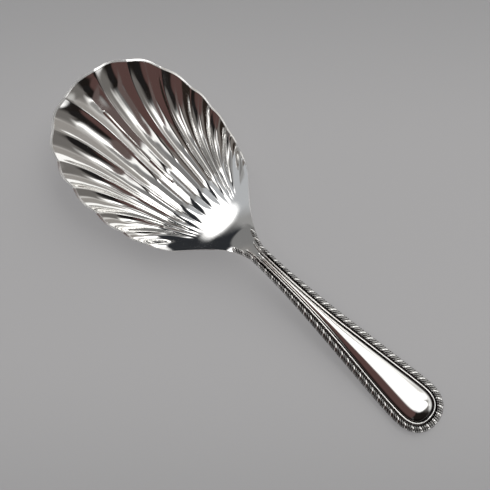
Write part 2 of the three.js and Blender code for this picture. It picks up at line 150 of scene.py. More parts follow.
# Gadroon border, and the width of the band from the handle's edge to the thread's middle
BORDER_LAP = 3.9
BORDER_START = BOWL_LENGTH - BORDER_LAP
END_X = SPOON_LENGTH - HANDLE_END_LENGTH
BAND_WIDTHS = (
    (BORDER_START, 1.55),
    (BOWL_LENGTH + 1, 1.28),
    (BOWL_LENGTH + 23.4, 1.88),
    (END_X, 1.83),
    (SPOON_LENGTH, 2.02),
)
CHANNEL = 0.45
GADROON_HEIGHT = 0.85
GADROON_PITCH = 1.95
LARGE_LOBE_SHARE = 0.44
GROOVE_SHARE = 0.3
GROOVE_INSET = 0.16
GADROON_LEAN = math.radians(42)
LEAN_START = 9
LEAF_END = 1.3
LEAF_HEIGHT_SHARE = 0.42
BORDER_PROFILE = (
    (0, 0), (0.02, 0.3), (0.06, 0.55), (0.13, 0.8), (0.22, 0.95), (0.32, 1), (0.45, 0.97),
    (0.58, 0.87), (0.7, 0.72), (0.82, 0.55), (0.92, 0.38), (1, 0.2), (1, 0),
)

# Tarnish and painted shade, from dark in the grooves to clean and polished: distances from a
# dome's edge, shares of other heights
DOME_SHADE_FADE = (0.25, 0.9)
WIDE_DOME = 2.4
THREAD_SHADE_FADE = (0.25, 0.75)
CREST_SHADE_FADE = (0.2, 0.65)
SIDE_SHADE_FADE = (0.1, 0.45)
SMALL_LOBE_LIGHT = 0.5

# Plate under the joint
PLATE_FRONT = 8.4
PLATE_BACK = 6.4
PLATE_HALF_WIDTH = 1.55
PLATE_THICKNESS = 0.75
PLATE_EDGE = 0.25
PLATE_END_SHARE = 0.004
LAP_GAP = 0.16

# Folds that stay sharp in the shading, and the fineness of the meshes
SHARP_ANGLE = math.radians(60)
STEM_SHARP_ANGLE = math.radians(50)
PLATE_SHARP_ANGLE = math.radians(40)
ROUNDING_SEGMENTS = 3
DIRECTION_SPAN = 0.12
FLUTE_COLUMNS = 18
BOWL_ROWS = 110
BOWL_ROW_POWER = 1.15
PATH_POINTS = 1200
STEM_COLUMNS = 220
DOME_ROWS = 26
THREAD_COLUMNS = 320
THREAD_RING = 12
LARGE_LOBE_COLUMNS = 8
SMALL_LOBE_COLUMNS = 6
PLATE_COLUMNS = 60
PLATE_ROWS = 16


def lerp(a, b, t):
    return a + (b - a) * t


def clamp(x, low, high):
    return max(low, min(high, x))


def smoothstep(x, low, high):
    t = clamp((x - low) / (high - low), 0, 1)
    return t * t * (3 - 2 * t)


def quarter_round(x):
    """Rises from 0 to 1 as a quarter of a circle does."""
    return math.sqrt(1 - (1 - x) ** 2)


def smooth_curve(points):
    """Smooth curve through points along X, without overshoot between them."""
    spans = [b[0] - a[0] for a, b in zip(points, points[1:])]
    rises = [(b[1] - a[1]) / span for a, b, span in zip(points, points[1:], spans)]
    slopes = [rises[0]]
    for a, b in zip(rises, rises[1:]):
        slopes.append(2 * a * b / (a + b) if a * b > 0 else 0)
    slopes.append(rises[-1])
    places = [p[0] for p in points]

    def height(x):
        i = clamp(bisect_left(places, x) - 1, 0, len(spans) - 1)
        t = clamp((x - places[i]) / spans[i], 0, 1)
        rise = points[i + 1][1] - points[i][1]
        start = slopes[i] * spans[i]
        end = slopes[i + 1] * spans[i]
        curve = (3 * rise - 2 * start - end) * t * t + (start + end - 2 * rise) * t ** 3
        return points[i][1] + start * t + curve

    return height


def bezier(corners, t):
    a, b, c, d = corners
    s = 1 - t
    return a * s ** 3 + b * 3 * s * s * t + c * 3 * s * t * t + d * t ** 3


def bezier_direction(corners, t):
    a, b, c, d = corners
    s = 1 - t
    return ((b - a) * s * s + (c - b) * 2 * s * t + (d - c) * t * t).normalized()


class Path:
    """A plane curve held as close points and measured along its length."""

    def __init__(self, points):
        self.points = points
        self.lengths = [0.0]
        for a, b in zip(points, points[1:]):
            self.lengths.append(self.lengths[-1] + (b - a).length)
        self.length = self.lengths[-1]

    def at(self, distance):
        i = clamp(bisect_left(self.lengths, distance), 1, len(self.points) - 1)
        span = self.lengths[i] - self.lengths[i - 1]
        return self.points[i - 1].lerp(self.points[i], (distance - self.lengths[i - 1]) / span)


def curve_points(corners):
    corners = [Vector(c) for c in corners]
    return [bezier(corners, i / PATH_POINTS) for i in range(PATH_POINTS + 1)]


# Inner edge of the rim from the bowl's tip to the shoulder
TIP_INSET = LOBE_BULGE + RIM_LAND
INNER_HALF_WIDTH = BOWL_HALF_WIDTH - RIM_LAND
INNER_SHOULDER = Vector((SHOULDER_X, SHOULDER_HALF_WIDTH)) - RIM_LAND * Vector((
    math.sin(BACK_TANGENT), math.cos(BACK_TANGENT)
))
back_reach = BACK_SHARES[1] * (SHOULDER_X - WIDEST_X)
rim_path = Path(
    curve_points((
        (TIP_INSET, 0),
        (TIP_INSET, FRONT_SHARES[0] * INNER_HALF_WIDTH),
        (lerp(WIDEST_X, TIP_INSET, FRONT_SHARES[1]), INNER_HALF_WIDTH),
        (WIDEST_X, INNER_HALF_WIDTH),
    ))
    + curve_points((
        (WIDEST_X, INNER_HALF_WIDTH),
        (lerp(WIDEST_X, SHOULDER_X, BACK_SHARES[0]), INNER_HALF_WIDTH),
        INNER_SHOULDER - back_reach * Vector((math.cos(BACK_TANGENT), -math.sin(BACK_TANGENT))),
        INNER_SHOULDER,
    ))[1:]
)


def fan_line(share):
    """One line of the fan: share 0 is the middle line and 1 the smooth shoulder edge."""
    rim = rim_path.at(share * rim_path.length)
    heel = Vector((BOWL_LENGTH, HEEL_HALF_WIDTH * share))
    span = (heel - rim).length
    rim_angle = lerp(FAN_ANGLE * share ** FAN_POWER, SHOULDER_ANGLE, share ** SHOULDER_BLEND_POWER)
    rim_reach = span * lerp(*RIM_REACH_SHARES, share ** REACH_BLEND_POWER)
    heel_angle = HEEL_SPREAD * math.sin(math.pi * share) + HEEL_EDGE * share
    heel_reach = span * lerp(*HEEL_REACH_SHARES, share ** REACH_BLEND_POWER)
    return (
        rim,
        rim + Vector((math.cos(rim_angle), -math.sin(rim_angle))) * rim_reach,
        heel + Vector((-math.cos(heel_angle), math.sin(heel_angle))) * heel_reach,
        heel,
    )


# Heights of the handle's underside and of the ledge that carries the borders
FOOT_START = SPOON_LENGTH - FOOT_LENGTH
UNDERSIDE_SLOPE = NECK_HEIGHT / (FOOT_START - BOWL_LENGTH - FOOT_BLEND / 2)


def underside_height(x):
    run = max(0, FOOT_START - x)
    blended = min(run, FOOT_BLEND)
    return UNDERSIDE_SLOPE * (blended * blended / (2 * FOOT_BLEND) + run - blended)


def ledge_height(x):
    return underside_height(x) + FLANGE


shoulder_edge = curve_points(fan_line(1))
outline = rim_path.points + shoulder_edge[1:]
outline_x = [p.x for p in outline]


def bowl_half_width(x):
    i = clamp(bisect_left(outline_x, x), 1, len(outline) - 1)
    a, b = outline[i - 1], outline[i]
    t = clamp((x - a.x) / (b.x - a.x), 0, 1) if b.x > a.x else 0
    return lerp(a.y, b.y, t)


rim_height = smooth_curve(
    [(TIP_INSET, RIM_TIP)]
    + [(a * BOWL_LENGTH, lerp(RIM_LOW, RIM_TIP, up)) for a, up in RIM_RISE_SHARES]
    + [(BORDER_START, ledge_height(BORDER_START)), (BOWL_LENGTH, ledge_height(BOWL_LENGTH))]
)
floor_height = smooth_curve(
    [(TIP_INSET, RIM_TIP)]
    + [(a * BOWL_LENGTH, lerp(FLOOR_HEIGHT, RIM_TIP, up)) for a, up in FLOOR_FALL_SHARES]
    + [
        (a * BOWL_LENGTH, lerp(FLOOR_HEIGHT, ledge_height(BOWL_LENGTH), up))
        for a, up in HEEL_RISE_SHARES
    ]
    + [(BOWL_LENGTH, ledge_height(BOWL_LENGTH))]
)


def dish_height(x, y):
    across = min(1, abs(y) / max(bowl_half_width(x), SHEET))
    return lerp(floor_height(x), rim_height(x), across ** DISH_POWER)


# Ridges between the flutes, as shares of the fan's side; they sit a little unevenly on the sides
lobe_shares = [CENTRE_LOBE_SHARE / 2] + [1 - LOBE_TAPER_SHARE * i for i in range(SIDE_FLUTES)]


def ridge_share(count, side):
    share = sum(lobe_shares[: count + 1]) / sum(lobe_shares)
    shift, middle, spread = RIDGE_SHIFT_SHARES
    return share + side * shift * math.exp(-(((share - middle) / spread) ** 2))


def side_ridges(side):
    """Ridges of one side, from the middle flute's to the shoulder, as shares and fan lines."""
    shares = [ridge_share(count, side) for count in range(SIDE_FLUTES)] + [1]
    return [(share, fan_line(share)) for share in shares]


ridges = {1: side_ridges(1), -1: side_ridges(-1)}


def in_frame(point):
    """From millimetres along the spoon into the model's frame in metres."""
    return Vector((point.x + TIP_SHIFT, point.y, point.z)) * MM


def shaped_grid(columns, rows, place):
    """A grid whose vertex in a column and row is moved to place(column, row)."""
    bm = bmesh.new()
    column_layer = bm.verts.layers.int.new("column")
    row_layer = bm.verts.layers.int.new("row")
    bmesh.ops.create_grid(bm, x_segments=columns, y_segments=rows, size=1)
    for vert in bm.verts:
        vert[column_layer] = round((vert.co.x + 1) / 2 * columns)
        vert[row_layer] = round((vert.co.y + 1) / 2 * rows)
        vert.co = place(vert[column_layer], vert[row_layer])
    bm.normal_update()
    return bm


def set_lit_and_clean(bm, lit_and_clean):
    """Keeps for every vertex how bright its silver is: 1 polished, 0 dark with tarnish and painted
    shade, as in a recess.
    """
    column_layer = bm.verts.layers.int["column"]
    row_layer = bm.verts.layers.int["row"]
    lit_and_clean_layer = bm.verts.layers.float.new("lit_and_clean")
    for vert in bm.verts:
        vert[lit_and_clean_layer] = lit_and_clean(vert[column_layer], vert[row_layer])


def extruded_verts(bm):
    """Extrudes every face and gives the vertices of the new side."""
    made = bmesh.ops.extrude_face_region(bm, geom=bm.faces[:])
    return [item for item in made["geom"] if isinstance(item, bmesh.types.BMVert)]


def round_edges(bm, edges, radius):
    bmesh.ops.bevel(
        bm, geom=edges, offset=radius, affect="EDGES", segments=ROUNDING_SEGMENTS, profile=0.5,
        material=-1, clamp_overlap=True,
    )


def face_outwards(bm):
    """Merges doubled vertices and turns every face outwards."""
    bmesh.ops.remove_doubles(bm, verts=bm.verts[:], dist=MERGE)
    bmesh.ops.recalc_face_normals(bm, faces=bm.faces[:])


def close_tube(bm):
    """Joins the seam of a tube, closes its ends and turns its faces outwards."""
    bmesh.ops.remove_doubles(bm, verts=bm.verts[:], dist=MERGE)
    bmesh.ops.holes_fill(bm, edges=bm.edges[:])
    face_outwards(bm)


def finish_piece(bm, name, node, material, sharp_angle=SHARP_ANGLE):
    """Moves a shaped mesh into the frame and makes it the piece that stands for a node."""
    for vert in bm.verts:
        vert.co = in_frame(vert.co)
    mesh = bpy.data.meshes.new(name)
    bm.to_mesh(mesh)
    bm.free()
    mesh.shade_smooth()
    mesh.set_sharp_from_angle(angle=sharp_angle)
    mesh.materials.append(material)
    piece = bpy.data.objects.new(name, mesh)
    bpy.context.scene.collection.objects.link(piece)
    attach(piece, "root")
    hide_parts(node)


# Bowl
def bowl_columns():
    """Every column is a line of the fan, with its place across a flute from -1 to 1."""
    columns = []
    for flute in range(-SIDE_FLUTES, SIDE_FLUTES + 1):
        side = -1 if flute < 0 else 1
        outer, outer_line = ridges[side][abs(flute)]
        inner, inner_line = (-outer, None) if flute == 0 else ridges[side][abs(flute) - 1]
        low, high = (-outer, -inner) if flute < 0 else (inner, outer)
        first = 0 if flute == -SIDE_FLUTES else 1
        for k in range(first, FLUTE_COLUMNS + 1):
            place = -math.cos(math.pi * k / FLUTE_COLUMNS)
            share = lerp(low, high, (place + 1) / 2)
            columns.append((share, place, outer_line, inner_line, fan_line(abs(share))))
    return columns


def flute_hollow(place):
    """Depth across a flute, 1 in the middle, with the ridges at its sides a little rounded."""
    bend = 1 - RIDGE_ROUNDING
    run = max(0, abs(place) - bend) / RIDGE_ROUNDING
    start = min(abs(place), bend)
    return 1 - start * start - 2 * bend * RIDGE_ROUNDING * (run - run * run / 2)


def bowl_inside(column, t):
    """A point of the bowl's inside, on a column of the fan: t is 0 at the rim, 1 at the heel."""
    share, place, outer_line, inner_line, line = column
    side = -1 if share < 0 else 1
    point = bezier(line, t)
    direction = bezier_direction(line, t)
    outer = bezier(outer_line, t)
    width = 2 * outer.y if inner_line is None else (outer - bezier(inner_line, t)).length
    lip = smoothstep(t, 0, LIP_SHARE)
    fade = lerp(1, LAST_BULGE_SHARE, smoothstep(abs(share), *BULGE_FADE_SHARES))
    bulge = LOBE_BULGE * fade * math.cos(math.pi / 2 * place) ** LOBE_POWER * (1 - lip)
    rim_fade = lerp(RIM_FLUTE_SHARE, 1, lip)
    heel_fade = 1 - smoothstep(point.x, *FLUTE_FADE)
    hollow = FLUTE_DEPTH_SHARE * width * flute_hollow(place) * rim_fade * heel_fade
    return Vector((
        point.x - bulge * direction.x,
        side * (point.y - bulge * direction.y),
        dish_height(point.x, point.y) - hollow,
    ))


def sheet_offset(spots, column, row, normal):
    """From the inside to the underside: level across the rim, square to the dish further in."""
    spot = spots[column][row]
    last = len(spots) - 1
    edges = ((column, 0, column, 1), (0, row, 1, row), (last, row, last - 1, row))
    offset = normal * -SHEET
    for edge_column, edge_row, next_column, next_row in edges:
        edge = spots[edge_column][edge_row]
        near = 1 - smoothstep((spot - edge).length, 0, LAND_REACH)
        if near > 0:
            outward = edge - spots[next_column][next_row]
            outward.z = 0
            land_share = 1 - smoothstep(edge.x, *LAND_FADE)
            level = outward.normalized() * RIM_LAND * land_share
            offset = offset.lerp(level, near * land_share)
    return offset


def make_bowl(material):
    columns = bowl_columns()
    spots = [
        [bowl_inside(column, (row / BOWL_ROWS) ** BOWL_ROW_POWER) for row in range(BOWL_ROWS + 1)]
        for column in columns
    ]
    bm = shaped_grid(len(columns) - 1, BOWL_ROWS, lambda column, row: spots[column][row])
    if sum(face.normal.z for face in bm.faces) < 0:
        bmesh.ops.reverse_faces(bm, faces=bm.faces[:])
    bm.normal_update()
    column_layer = bm.verts.layers.int["column"]
    row_layer = bm.verts.layers.int["row"]
    offset_layer = bm.verts.layers.float_vector.new("offset")
    under_layer = bm.verts.layers.int.new("under")
    for vert in bm.verts:
        vert[offset_layer] = sheet_offset(spots, vert[column_layer], vert[row_layer], vert.normal)
    for vert in extruded_verts(bm):
        vert.co += vert[offset_layer]
        vert.co.z = max(vert.co.z, 0)
        vert.co.x = min(vert.co.x, BOWL_LENGTH)
        vert[under_layer] = 1
    bmesh.ops.recalc_face_normals(bm, faces=bm.faces[:])
    land = {face for face in bm.faces if len({vert[under_layer] for vert in face.verts}) == 2}
    satin_layer = bm.verts.layers.float.new("satin")
    for vert in {vert for face in land for vert in face.verts}:
        vert[satin_layer] = 1 - smoothstep(vert.co.x, *LAND_FADE)
    rim = [
        edge for edge in bm.edges
        if sum(face in land for face in edge.link_faces) == 1
        and edge.verts[0].co.x < BOWL_LENGTH - SHEET
    ]
    round_edges(bm, rim, RIM_ROUNDING)
    finish_piece(bm, "fluted_bowl", "bowl", material)


# Edge of the handle, measured from the tip back to the borders' start on the bowl's shoulder
end_points = curve_points((
    (END_X, HANDLE_HALF_WIDTH),
    (lerp(END_X, SPOON_LENGTH, END_FULLNESS_SHARE), HANDLE_HALF_WIDTH),
    (SPOON_LENGTH, HANDLE_HALF_WIDTH * END_FULLNESS_SHARE),
    (SPOON_LENGTH, 0),
))
side_points = curve_points((
    (BOWL_LENGTH, HEEL_HALF_WIDTH),
    (BOWL_LENGTH + WAIST_REACH, HEEL_HALF_WIDTH - WAIST_REACH * math.tan(WAIST_ANGLE)),
    (END_X - HANDLE_SHOULDER_REACH, HANDLE_HALF_WIDTH),
    (END_X, HANDLE_HALF_WIDTH),
))
neck_points = [p for p in shoulder_edge if p.x > BORDER_START]
edge_path = Path(end_points[::-1] + side_points[::-1][1:] + neck_points[::-1][1:])
STEM_REACH = edge_path.lengths[2 * PATH_POINTS]
EDGE_REACH = edge_path.length
band_width = smooth_curve(BAND_WIDTHS)


class EdgePlace:
    """A place on the handle's edge; a negative distance lies on the other side of the tip."""

    def __init__(self, distance):
        reach = clamp(abs(distance), 0, EDGE_REACH)
        side = -1 if distance < 0 else 1
        point = edge_path.at(reach)
        low = clamp(reach - DIRECTION_SPAN, 0, EDGE_REACH)
        high = clamp(reach + DIRECTION_SPAN, 0, EDGE_REACH)
        ahead = (edge_path.at(high) - edge_path.at(low)).normalized()
        if reach < DIRECTION_SPAN:
            ahead = Vector((0, 1)).lerp(ahead, reach / DIRECTION_SPAN).normalized()
        self.point = Vector((point.x, side * point.y))
        self.inward = Vector((-ahead.y, side * ahead.x))
        self.band = band_width(point.x)

    def inset(self, distance):
        return (self.point + self.inward * distance).to_3d()


# Stem of the handle
def nose_rise(x):
    return smoothstep(x, BOWL_LENGTH, BOWL_LENGTH + NOSE_LENGTH)


def dome_rise(x):
    return nose_rise(x) * lerp(NECK_DOME, TIP_DOME, smoothstep(x, BOWL_LENGTH, END_X))


def stem_section(distance):
    """Half section of the stem's top, from its edge inwards to the crest, and how lit and clean
    its colour is painted.
    """
    edge = EdgePlace(distance)
    room = THREAD_RADIUS + SOLDER_GAP
    steps = (
        (LEDGE_INSET, 0),
        (edge.band - room - SEAT_EASE[0], 0),
        (edge.band - room, SEAT_EASE[1]),
        (edge.band - THREAD_RADIUS, THREAD_SEAT),
        (edge.band + THREAD_RADIUS, THREAD_SEAT),
        (edge.band + room - DOME_EASE[0], DOME_EDGE - DOME_EASE[1]),
    )
    points = []
    # Tarnish and painted shade: the ledge, the thread's seat and the dome's foot are dark
    lit_and_clean_values = [0] * len(steps)
    for inset, height in steps:
        point = edge.inset(inset)
        point.z = ledge_height(point.x) + height * nose_rise(point.x)
        points.append(point)
    rim = edge.inset(edge.band + room)
    spine_x = min(rim.x, SPOON_LENGTH - SPINE_END)
    for k in range(DOME_ROWS + 1):
        share = math.cos(math.pi / 2 * k / DOME_ROWS)
        x = lerp(spine_x, rim.x, share)
        dome = dome_rise(spine_x) * (1 - share * share)
        height = ledge_height(x) + nose_rise(x) * DOME_EDGE + dome
        points.append(Vector((x, rim.y * share, height)))
    dome_points = points[len(steps):]
    # Tarnish and painted shade at the dome's edge, fading out a little way in from it
    wide = min(1, (dome_points[-1] - dome_points[0]).length / WIDE_DOME)
    for point in dome_points:
        run = (point - dome_points[0]).length / wide
        lit_and_clean_values.append(smoothstep(run, *DOME_SHADE_FADE))
    return points, [lerp(1, lit_and_clean, nose_rise(p.x)) for p, lit_and_clean in zip(points, lit_and_clean_values)]


def make_stem(material):
    sections = []
    for column in range(STEM_COLUMNS + 1):
        along = 2 * column / STEM_COLUMNS - 1
        sections.append(stem_section(STEM_REACH * along))
    bm = shaped_grid(
        STEM_COLUMNS, len(sections[0][0]) - 1, lambda column, row: sections[column][0][row]
    )
    set_lit_and_clean(bm, lambda column, row: sections[column][1][row])
    bmesh.ops.remove_doubles(bm, verts=bm.verts[:], dist=MERGE)
    for vert in extruded_verts(bm):
        vert.co.z = underside_height(vert.co.x)
    for vert in bm.verts:
        vert.co.x = max(vert.co.x, BOWL_LENGTH)
    bmesh.ops.recalc_face_normals(bm, faces=bm.faces[:])
    foot = [
        edge for edge in bm.edges
        if edge.calc_face_angle(0) > SHARP_ANGLE
        and max(v.co.z - underside_height(v.co.x) for v in edge.verts) < MERGE
        and edge.verts[0].co.x > BOWL_LENGTH + SHEET
    ]
    round_edges(bm, foot, FOOT_ROUNDING)
    finish_piece(bm, "handle", "handle_stem", material, STEM_SHARP_ANGLE)


# Thread round the dome
def make_thread(material):
    reach = EDGE_REACH - (BORDER_LAP - THREAD_LAP)
    rings = []
    for column in range(THREAD_COLUMNS + 1):
        distance = reach * (2 * column / THREAD_COLUMNS - 1)
        edge = EdgePlace(distance)
        end = clamp((reach - abs(distance)) / THREAD_TAPER, 0, 1)
        taper = max(quarter_round(end), THREAD_TIP_SHARE)
        seat = edge.inset(edge.band)
        base = ledge_height(seat.x) + THREAD_SEAT * nose_rise(seat.x)
        ring = []
        for k in range(THREAD_RING + 1):
            angle = math.pi * k / THREAD_RING
            point = edge.inset(edge.band + THREAD_RADIUS * taper * math.cos(angle))
            point.z = base + THREAD_HEIGHT * taper * math.sin(angle)
            ring.append(point)
        rings.append(ring + [ring[0]])
    bm = shaped_grid(THREAD_COLUMNS, THREAD_RING + 1, lambda column, row: rings[column][row])
    # Painted shade: the thread's colour darkens down its sides, so its top shows as a bright line
    set_lit_and_clean(
        bm,
        lambda column, row: smoothstep(math.sin(math.pi * row / THREAD_RING), *THREAD_SHADE_FADE),
    )
    close_tube(bm)
    finish_piece(bm, "thread", "thread_wire", material)


# Gadroon border
LARGE_LOBE = GADROON_PITCH * LARGE_LOBE_SHARE
SMALL_LOBE = (GADROON_PITCH - LARGE_LOBE) / 2


def gadroon_stations(start):
    """Distances from the tip, their place across a lobe from -1 to 1 and the lobe's painted light,
    less on a small lobe.
    """
    widths = (SMALL_LOBE, SMALL_LOBE, LARGE_LOBE)
    if start < 0:
        widths = (LARGE_LOBE, SMALL_LOBE, SMALL_LOBE)
    stations = [(start, -1, 0)]
    begin = start
    count = 0
    while begin < EDGE_REACH:
        width = widths[count % len(widths)]
        steps = LARGE_LOBE_COLUMNS if width == LARGE_LOBE else SMALL_LOBE_COLUMNS
        for k in range(1, steps + 1):
            place = -math.cos(math.pi * k / steps)
            # Painted shade: a small lobe is painted darker than a large one
            lit_and_clean = 1 if width == LARGE_LOBE else SMALL_LOBE_LIGHT
            stations.append((begin + width * (place + 1) / 2, place, lit_and_clean))
        begin += width
        count += 1
    return [station for station in stations if station[0] < EDGE_REACH]


def lobe_crest(place):
    """Height across a lobe, 1 in its middle and 0 in the grooves beside it."""
    return math.sqrt(max(0, 1 - place * place))


def gadroon_ring(distance, place, side):
    """Outline of the border's strip, where a lobe leans with it and its far end is a leaf."""
    leaf = quarter_round(clamp((EDGE_REACH - distance) / LEAF_END, 0, 1))
    crest = lobe_crest(place)
    middle = EdgePlace(distance)
    width = middle.band - CHANNEL
    lean = math.tan(GADROON_LEAN) * smoothstep(distance, 0, LEAN_START) * leaf
    height = GADROON_HEIGHT * lerp(GROOVE_SHARE, 1, crest) * lerp(LEAF_HEIGHT_SHARE, 1, leaf)
    ring = []
    for across, up in BORDER_PROFILE:
        spot = lerp((1 - leaf) / 2, (1 + leaf) / 2, across)
        inset = max(width * (1 - spot), (1 - crest) * GROOVE_INSET)
        along = clamp(distance - lean * width * (spot - 1 / 2), -EDGE_REACH, EDGE_REACH)
        point = EdgePlace(side * along).inset(inset)
        point.z = ledge_height(point.x) + height * up
        ring.append(point)
    return ring + [ring[0]]


def make_border(side, start, name, node, material):
    stations = gadroon_stations(start)
    rings = [gadroon_ring(distance, place, side) for distance, place, _ in stations]
    bm = shaped_grid(len(rings) - 1, len(rings[0]) - 1, lambda column, row: rings[column][row])

    # Tarnish and painted shade in the grooves between the lobes, and painted shade low on the
    # border's sides
    def lit_and_clean(column, row):
        _, place, lobe_lit_and_clean = stations[column]
        height = BORDER_PROFILE[min(row, len(BORDER_PROFILE) - 1)][1]
        crest_lit_and_clean = smoothstep(lobe_crest(place), *CREST_SHADE_FADE)
        return crest_lit_and_clean * smoothstep(height, *SIDE_SHADE_FADE) * lobe_lit_and_clean

    set_lit_and_clean(bm, lit_and_clean)
    close_tube(bm)
    finish_piece(bm, name, node, material)


# Drop-shaped plate under the joint
def plate_half_width(x):
    front = clamp((x - BOWL_LENGTH + PLATE_FRONT) / PLATE_FRONT, 0, 1)
    back = clamp((BOWL_LENGTH + PLATE_BACK - x) / PLATE_BACK, 0, 1)
    return PLATE_HALF_WIDTH * quarter_round(front) * quarter_round(back)


def plate_top(x, y):
    """Height of the bowl's and the handle's underside, which the plate lies against."""
    if x > BOWL_LENGTH:
        return underside_height(x)
    slope_x = (dish_height(x + SHEET, y) - dish_height(x - SHEET, y)) / (2 * SHEET)
    slope_y = (dish_height(x, y + SHEET) - dish_height(x, y - SHEET)) / (2 * SHEET)
    return dish_height(x, y) - SHEET * math.hypot(1, slope_x, slope_y)


def make_plate(material):
    length = PLATE_FRONT + PLATE_BACK

    def place(column, row):
        along = (1 - math.cos(math.pi * column / PLATE_COLUMNS)) / 2
        run = length * lerp(PLATE_END_SHARE, 1 - PLATE_END_SHARE, along)
        x = BOWL_LENGTH - PLATE_FRONT + run
        y = plate_half_width(x) * -math.cos(math.pi * row / PLATE_ROWS)
        return Vector((x, y, plate_top(x, y) - LAP_GAP))

    bm = shaped_grid(PLATE_COLUMNS, PLATE_ROWS, place)
    for vert in extruded_verts(bm):
        across = abs(vert.co.y) / max(plate_half_width(vert.co.x), MERGE)
        vert.co.z -= lerp(PLATE_THICKNESS, PLATE_EDGE, min(1, across) ** 2)
    face_outwards(bm)
    finish_piece(
        bm, "joint_plate", "heel_plate", material, PLATE_SHARP_ANGLE
    )


# Materials
def add_node(tree, kind, **settings):
    node = tree.nodes.new(kind)
    for key, value in settings.items():
        setattr(node, key, value)
    return node


def node_group(name, inputs, outputs):
    """A shader node group with its input and output nodes."""
    group = bpy.data.node_groups.new(name, "ShaderNodeTree")
    for label, kind, value in inputs:
        socket = group.interface.new_socket(label, in_out="INPUT", socket_type=kind)
        if value is not None:
            socket.default_value = value
    for label, kind in outputs:
        group.interface.new_socket(label, in_out="OUTPUT", socket_type=kind)
    return group, group.nodes.new("NodeGroupInput"), group.nodes.new("NodeGroupOutput")


def node_material(name):
    """A new material with its node tree and its shader."""
    material = bpy.data.materials.new(name)
    material.use_nodes = True
    return material, material.node_tree, material.node_tree.nodes["Principled BSDF"]


# Silver: its colours, one of them dark for tarnish and painted shade, its roughness from clear to
# hazy, and its wiping marks
SILVER_TONE = (0.93, 0.92, 0.9)
BORDER_TONE = (0.95, 0.94, 0.92)
GROOVE_TARNISH_AND_SHADE = (0.03, 0.026, 0.024)
CLEAR_ROUGHNESS = 0.05
HAZY_ROUGHNESS = 0.11
BORDER_HAZY_ROUGHNESS = 0.12
RIM_ROUGHNESS = 0.35
PATCHES_PER_METRE = 120
HAZE_RANGE = (0.4, 0.7)
MARKS_PER_METRE = 2500
MARKS_TURN = 0.3
MARKS_STRETCH = (0.06, 1, 1)
MARKS_STRENGTH = 0.1
MARKS_DEPTH = 0.01 * MM


def polish_marks_group():
    """Fine wiping marks that run along the spoon, as a height."""
    group, given, result = node_group(
        "polish_marks",
        (
            ("Marks per metre", "NodeSocketFloat", MARKS_PER_METRE),
            ("Turn", "NodeSocketFloat", MARKS_TURN),
        ),
        (("Height", "NodeSocketFloat"),),
    )
    link = group.links.new
    place = add_node(group, "ShaderNodeTexCoord")
    stretch = add_node(group, "ShaderNodeMapping")
    stretch.inputs["Scale"].default_value = MARKS_STRETCH
    turn = add_node(group, "ShaderNodeCombineXYZ")
    fine = add_node(group, "ShaderNodeTexNoise")
    fine.inputs["Detail"].default_value = 4
    link(given.outputs["Turn"], turn.inputs["Z"])
    link(turn.outputs["Vector"], stretch.inputs["Rotation"])
    link(place.outputs["Object"], stretch.inputs["Vector"])
    link(stretch.outputs["Vector"], fine.inputs["Vector"])
    link(given.outputs["Marks per metre"], fine.inputs["Scale"])
    link(fine.outputs["Fac"], result.inputs["Height"])
    return group


def haze_group():
    """Handling haze: the roughness of silver that is wiped and put away."""
    group, given, result = node_group(
        "handling_haze",
        (
            ("Clear", "NodeSocketFloat", CLEAR_ROUGHNESS),
            ("Hazy", "NodeSocketFloat", HAZY_ROUGHNESS),
            ("Patches per metre", "NodeSocketFloat", PATCHES_PER_METRE),
        ),
        (("Roughness", "NodeSocketFloat"),),
    )
    link = group.links.new
    place = add_node(group, "ShaderNodeTexCoord")
    patches = add_node(group, "ShaderNodeTexNoise")
    patches.inputs["Detail"].default_value = 5
    patches.inputs["Roughness"].default_value = 0.6
    spread = add_node(group, "ShaderNodeMapRange", interpolation_type="SMOOTHSTEP")
    spread.inputs["From Min"].default_value = HAZE_RANGE[0]
    spread.inputs["From Max"].default_value = HAZE_RANGE[1]
    link(place.outputs["Object"], patches.inputs["Vector"])
    link(given.outputs["Patches per metre"], patches.inputs["Scale"])
    link(patches.outputs["Fac"], spread.inputs["Value"])
    link(given.outputs["Clear"], spread.inputs["To Min"])
    link(given.outputs["Hazy"], spread.inputs["To Max"])
    link(spread.outputs["Result"], result.inputs["Roughness"])
    return group


polish_marks = polish_marks_group()
handling_haze = haze_group()


